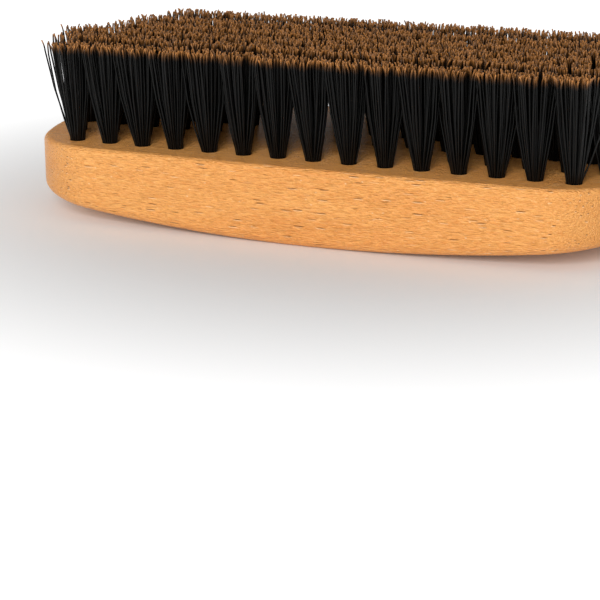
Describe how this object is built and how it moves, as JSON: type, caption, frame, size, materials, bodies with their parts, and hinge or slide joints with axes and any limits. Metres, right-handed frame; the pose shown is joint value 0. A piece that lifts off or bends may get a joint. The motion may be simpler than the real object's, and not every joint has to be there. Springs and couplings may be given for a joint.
{
  "type": "beard brush",
  "caption": "Oval palm brush for beards: solid wooden block with an arched back and straight rows of flared bristle tufts set in drilled holes.",
  "frame": {"origin": "middle of the footprint, at the lowest point of the arched back", "axes": "+X along the brush, +Y across it, +Z out of the tuft face, bristles up"},
  "size_m": [0.1188, 0.0556, 0.033],
  "materials": {
    "beech": "oiled satin beech with fine dark flecks",
    "bristle": "black natural bristle with brown tips",
    "anchor_wire": "drawn flat wire, dull"
  },
  "bodies": {
    "root": {"handle_block": "beech", "tufts_row_1_left": "bristle", "tufts_row_1_middle": "bristle", "tufts_row_1_right": "bristle", "anchors_row_1_left": "anchor_wire", "anchors_row_1_middle": "anchor_wire", "anchors_row_1_right": "anchor_wire", "tufts_row_2_left": "bristle", "tufts_row_2_middle": "bristle", "tufts_row_2_right": "bristle", "anchors_row_2_left": "anchor_wire", "anchors_row_2_middle": "anchor_wire", "anchors_row_2_right": "anchor_wire", "tufts_row_3_left": "bristle", "tufts_row_3_middle": "bristle", "tufts_row_3_right": "bristle", "anchors_row_3_left": "anchor_wire", "anchors_row_3_middle": "anchor_wire", "anchors_row_3_right": "anchor_wire", "tufts_row_4_left": "bristle", "tufts_row_4_middle": "bristle", "tufts_row_4_right": "bristle", "anchors_row_4_left": "anchor_wire", "anchors_row_4_middle": "anchor_wire", "anchors_row_4_right": "anchor_wire", "tufts_row_5_left": "bristle", "tufts_row_5_middle": "bristle", "tufts_row_5_right": "bristle", "anchors_row_5_left": "anchor_wire", "anchors_row_5_middle": "anchor_wire", "anchors_row_5_right": "anchor_wire", "tufts_row_6_left": "bristle", "tufts_row_6_middle": "bristle", "tufts_row_6_right": "bristle", "anchors_row_6_left": "anchor_wire", "anchors_row_6_middle": "anchor_wire", "anchors_row_6_right": "anchor_wire"}
  },
  "joints": []
}
